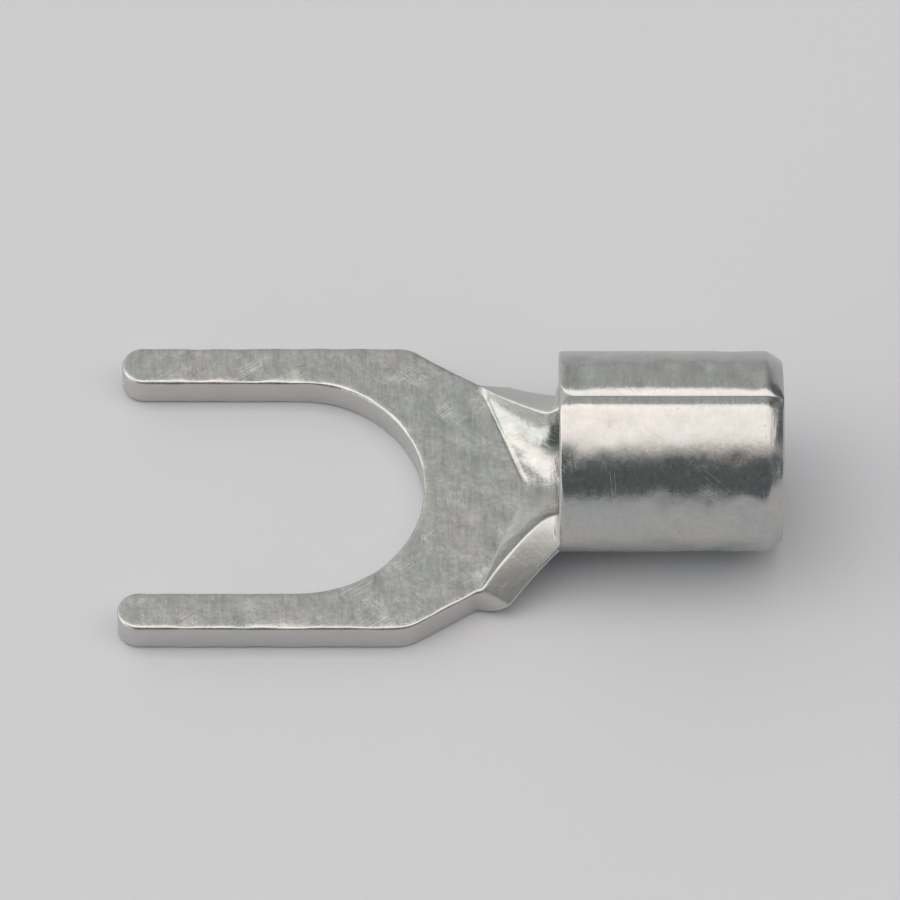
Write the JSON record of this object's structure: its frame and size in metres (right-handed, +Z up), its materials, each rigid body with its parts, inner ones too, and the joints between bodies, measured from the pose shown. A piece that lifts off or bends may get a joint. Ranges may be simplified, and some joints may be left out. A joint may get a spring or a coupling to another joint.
{
  "type": "fork terminal",
  "caption": "Uninsulated crimp fork terminal of tinned copper sheet: an open flat fork for a screw stud, a formed neck and a rolled wire barrel with a closed seam.",
  "frame": {"origin": "stud centre (centre of the slot's round end) on the tongue's underside, the face it rests on", "axes": "+X from the prong tips towards the barrel's mouth, along the barrel; +Z up, away from the tongue's underside; +Y across the fork"},
  "size_m": [0.0185, 0.0094, 0.0057],
  "materials": {
    "tinned_copper": "satin tin plate over copper"
  },
  "bodies": {
    "root": {"fork_terminal": "tinned_copper"}
  },
  "joints": []
}
